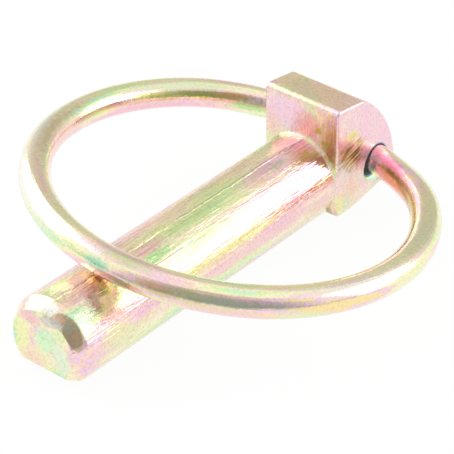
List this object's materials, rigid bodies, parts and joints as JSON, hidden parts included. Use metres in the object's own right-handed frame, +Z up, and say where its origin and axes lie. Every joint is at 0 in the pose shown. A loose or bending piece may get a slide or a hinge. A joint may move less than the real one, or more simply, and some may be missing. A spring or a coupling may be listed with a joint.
{
  "type": "wire lock pin",
  "caption": "Linch pin: a forged pin with a flat underside and a D-shaped head, and a sprung wire ring that swings in the head's slanting cross-hole and closes over the shank.",
  "frame": {"origin": "on the shank's flat, below the shank's axis, in the plane of the shoulder where the shank meets the head", "axes": "+X along the shank from its tip to the back of the head, +Y to the left, +Z up, square to the shank's flat"},
  "size_m": [0.0524, 0.045, 0.0136],
  "materials": {
    "forging": "yellow chromated zinc plating on a drawn and forged surface, satin, with fine drawing lines",
    "wire": "yellow chromated zinc plating on spring wire, smooth and bright"
  },
  "bodies": {
    "pin": {"forged_pin": "forging"},
    "ring": {"lock_ring": "wire"}
  },
  "joints": [
    {"name": "ring_swing", "type": "hinge", "parent": "pin", "child": "ring", "pos_m": [0.00745, 0, 0.0051], "axis": [0, 0.9826, 0.1857], "range_deg": [0, 160]}
  ]
}
